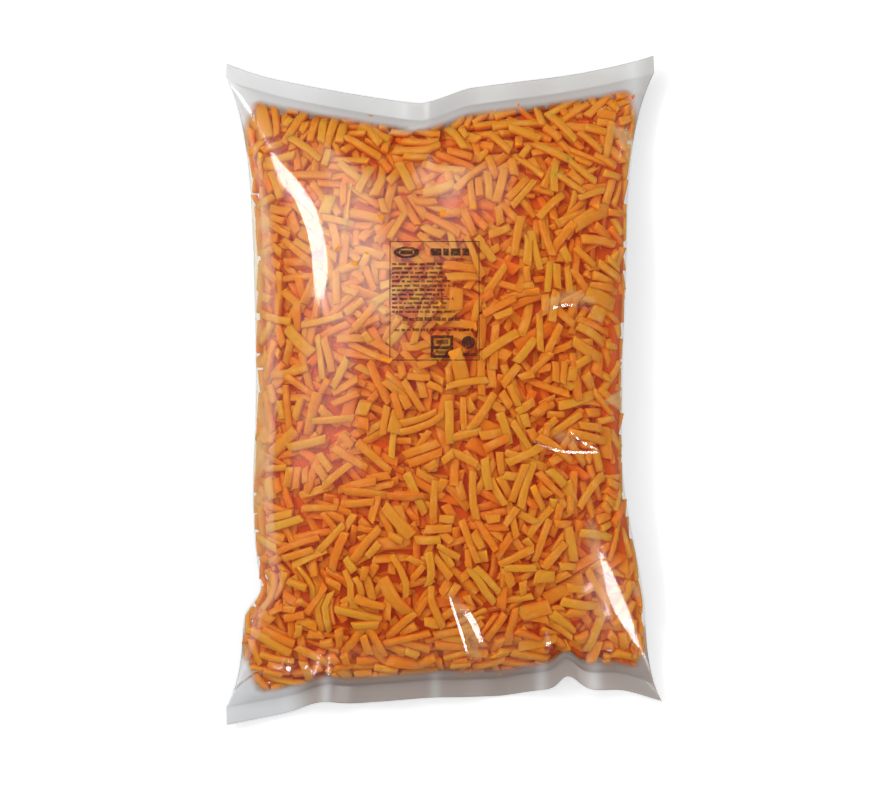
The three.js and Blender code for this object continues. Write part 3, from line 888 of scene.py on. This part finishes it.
class PrintSheet:  # flat ink shapes gathered into one mesh that follows the film
    def __init__(self):
        self.points = []
        self.faces = []

    def grid(self, x, y):
        base = sum(len(part) for part in self.points)
        rows, columns = x.shape
        place = filmOver(x, y)
        place[..., 2] += panel["proud"]
        self.points.append(place.reshape(-1, 3))
        for r in range(rows - 1):
            for c in range(columns - 1):
                a = base + r * columns + c
                self.faces.append((a, a + 1, a + columns + 1, a + columns))

    def bar(self, left, bottom, right, top):
        columns = max(int((right - left) / 2), 1) + 1
        rows = max(int((top - bottom) / 2), 1) + 1
        self.grid(*np.meshgrid(np.linspace(left, right, columns), np.linspace(bottom, top, rows)))

    def ring(self, x, y, innerWide, outerWide, flatten=1.0):
        angle, reach = np.meshgrid(np.linspace(2 * math.pi, 0, 33), [innerWide / 2, outerWide / 2])
        self.grid(x + reach * np.cos(angle), y + reach * np.sin(angle) * flatten)

    def outline(self, left, bottom, right, top, line):
        self.bar(left, bottom, right, bottom + line)
        self.bar(left, top - line, right, top)
        self.bar(left, bottom + line, left + line, top - line)
        self.bar(right - line, bottom + line, right, top - line)

    def dashes(self, draw, left, right, bottom, height, longest):
        x = left
        while x < right:
            wide = draw.uniform(1.4, longest)
            self.bar(x, bottom, min(x + wide, right), bottom + height * draw.uniform(0.75, 1.1))
            x += wide + draw.uniform(0.5, 1.4)

    def make(self, name, material):
        made = makeMesh(name, np.concatenate(self.points), self.faces, [material])
        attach(made, "root")


def inkMaterial(name, cover):
    g = Graph(name)
    clear = g.add("ShaderNodeBsdfTransparent", None, {"Color": white})
    worn = g.add("ShaderNodeMapRange", None, {"Value": g.noise(700, 2), "From Min": 0.3, "From Max": 0.5})
    ink = g.add("ShaderNodeBsdfPrincipled", None, {
        "Base Color": linearColour(44, 28, 26), "Roughness": 0.6, "Specular IOR Level": 0.2})
    share = worn * (cover * 0.5) + cover * 0.5
    return g.finish(g.add("ShaderNodeMixShader", None, {0: share, 1: clear, 2: ink}))


def makePrint():
    strong = PrintSheet()
    faint = PrintSheet()
    draw = np.random.default_rng(panel["seed"])
    left, right = panel["left"], panel["right"]
    strong.outline(left, panel["bottom"], right, panel["top"], panel["line"])
    x, y, wide, flatten = panel["oval"]
    strong.ring(x, y, wide * 0.62, wide, flatten)
    strong.bar(x - wide * 0.24, y - 1.3, x + wide * 0.24, y + 1.3)
    for start, width in panel["heading"]:
        strong.bar(start, panel["headingBottom"], start + width, panel["headingTop"])
    for line in range(panel["smallLines"]):
        y = panel["firstSmallLine"] - line * panel["smallPitch"]
        faint.dashes(draw, left + 1.5, 8.5 - draw.uniform(0, 9), y, panel["smallHeight"], 6.5)
    faint.dashes(draw, -25.5, 11, 44.6, 2.6, 5)
    faint.dashes(draw, -30.5, 20.5, 38.2, 1.7, 5)
    x0, y0, x1, y1 = panel["square"]
    frameLine = panel["squareLine"]
    strong.outline(x0, y0, x1, y1, frameLine)
    strong.bar(x0 + frameLine, y0 + 5.6, x1 - frameLine, y0 + 7.4)  # between its two panes
    faint.bar(x0 + 3.2, y0 + 2.6, x1 - 3.2, y0 + 4.6)
    faint.bar(x0 + 3.2, y0 + 8.8, x1 - 3.2, y0 + 11.4)
    strong.ring(panel["disc"][0], panel["disc"][1], 0.4, panel["disc"][2])
    faint.bar(*panel["foot"])
    strong.make("labelBlocks", inkMaterial("blackInk", 0.9))
    faint.make("labelLines", inkMaterial("thinInk", 0.7))


def shredTonesAndShade(placed):  # how light each shred is: a random tone, with painted shade making the deeper ones darker and redder
    draw = np.random.default_rng(shreds["seed"] + 2)
    return np.clip(draw.normal(0.76, 0.16, len(placed)) - 0.06 * placed[:, 5], 0, 1)


def makeAllShreds():
    cheese = cheeseMaterial()
    placed = packShreds()
    print(len(placed), "shreds packed")
    shadedTones = shredTonesAndShade(placed)
    isLong = placed[:, -1] > 0.5
    outer = np.cumsum(isLong) <= isLong.sum() / 2
    makeShreds("longShreds", placed[isLong & outer], cheese, shadedTones[isLong & outer])
    makeShreds("longShredsInner", placed[isLong & ~outer], cheese, shadedTones[isLong & ~outer])
    makeShreds("shortShreds", placed[~isLong], cheese, shadedTones[~isLong])


core = {"depth": 11.0, "rimDepth": 2.2, "leastRoom": 8.0, "step": 8}  # the unseen middle of the filling


def makeCore():
    room = skin["room"]
    deepEnough = np.flatnonzero(room[:, room.shape[1] // 4] > core["leastRoom"])
    rows, columns = np.meshgrid(np.arange(deepEnough[0], deepEnough[-1], core["step"]),
                                np.arange(0, skinGrid["around"], core["step"]), indexing="ij")
    nearRim = ease(np.abs(skin["normal"][rows, columns, 0]), 0.55, 0.85)
    depth = core["depth"] + (core["rimDepth"] - core["depth"]) * nearRim
    atLeft = np.abs(columns - skinGrid["around"] / 2) > 0.45 * skinGrid["around"]
    depth += 0.8 * shreds["leftGap"] * nearRim * atLeft
    depth = np.minimum(depth, room[rows, columns] * 0.8)
    points = skinPlace(rows.astype(float), columns.astype(float), depth)
    inCorner = bump(np.abs(points[..., 0]), 145, 35) * bump(np.abs(points[..., 1]), 206, 45)
    points[..., 0] *= 1 - 0.3 * inCorner
    points[..., 1] *= 1 - 0.12 * inCorner
    count, around = rows.shape
    faces = []
    for r in range(count - 1):
        for c in range(around):
            a, b = r * around + c, r * around + (c + 1) % around
            faces.append((a, b, b + around, a + around))
    last = (count - 1) * around
    half = around // 2
    faces += [(0, around - 1, 1), (last, last + 1, last + around - 1)]
    for c in range(1, half - 1):  # the ends are zipped shut from side to side
        faces.append((c, around - c, around - c - 1, c + 1))
        faces.append((last + c, last + c + 1, last + around - c - 1, last + around - c))
    faces.append((half - 1, half + 1, half))
    faces.append((last + half - 1, last + half, last + half + 1))
    made = makeMesh("shredCore", points.reshape(-1, 3), faces, [shadedCoreMaterial()])
    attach(made, "root")


table = {
    "size": 4000, "drop": 0.3,
    "colour": (0.93, 0.93, 0.93, 1), "glow": 0.5,
    "bounce": (0.4, 0.4, 0.4, 1),
}


def makeTable():  # a white top that the camera sees, and a grey one that throws the light back to the bag
    size = table["size"]
    for name, low in (("table", -table["drop"]), ("tableBounce", -table["drop"] * 0.6)):
        g = Graph(name)
        seen = name == "table"
        surface = g.add("ShaderNodeBsdfPrincipled", None, {
            "Base Color": table["colour" if seen else "bounce"], "Roughness": 0.9, "Specular IOR Level": 0.1,
            "Emission Color": white, "Emission Strength": table["glow"] if seen else 0.0})
        corners = [(-size, -size, low), (size, -size, low), (size, size, low), (-size, size, low)]
        made = makeMesh(name, corners, [(0, 1, 2, 3)], [g.finish(surface)], smooth=False)
        made.visible_camera = seen
        made.visible_diffuse = made.visible_glossy = not seen
        made.visible_shadow = seen


def makeLamps():  # one flat lamp for each stretch of a lamp's line, facing the bag
    for name, lamp in lamps.items():
        for first, second in zip(lamp["line"], lamp["line"][1:]):
            first, second = Vector(first), Vector(second)
            along = (second - first).normalized()
            middle = (first + second) / 2
            back = (middle - middle.project(along)).normalized()
            data = bpy.data.lights.new(name, "AREA")
            data.shape = "RECTANGLE"
            data.size, data.size_y = lamp["wide"], (second - first).length
            data.energy = lamp["glow"] * math.pi * data.size * data.size_y
            made = bpy.data.objects.new(name, data)
            turn = Matrix((along.cross(back), along, back)).transposed().to_4x4()
            made.matrix_world = Matrix.Translation(middle) @ turn
            data.color = lamp.get("colour", (1, 1, 1))
            made.visible_glossy = lamp.get("mirrored", True)
            scene.collection.objects.link(made)


def makeWorld():
    world = bpy.data.worlds.new("studio")
    world.use_nodes = True
    world.node_tree.nodes["Background"].inputs["Color"].default_value = (0.95, 0.97, 1.0, 1)
    world.node_tree.nodes["Background"].inputs["Strength"].default_value = 0.06
    scene.world = world
    scene.view_settings.view_transform = "Standard"


def makeCamera():
    data = bpy.data.cameras.new("camera")
    data.sensor_width = 36
    data.lens = 36 * (view["distance"] - 0.02) / view["pictureWidth"]  # the width is measured at the seals
    camera = bpy.data.objects.new("camera", data)
    camera.location = (*view["middle"], view["distance"])
    scene.collection.objects.link(camera)
    scene.camera = camera


makeAllShreds()
makeCore()
makeFilm()
makeCreases()
makePrint()
print("film and print made")
makeTable()
makeLamps()
makeWorld()
makeCamera()
print("table, lamps and camera in place")
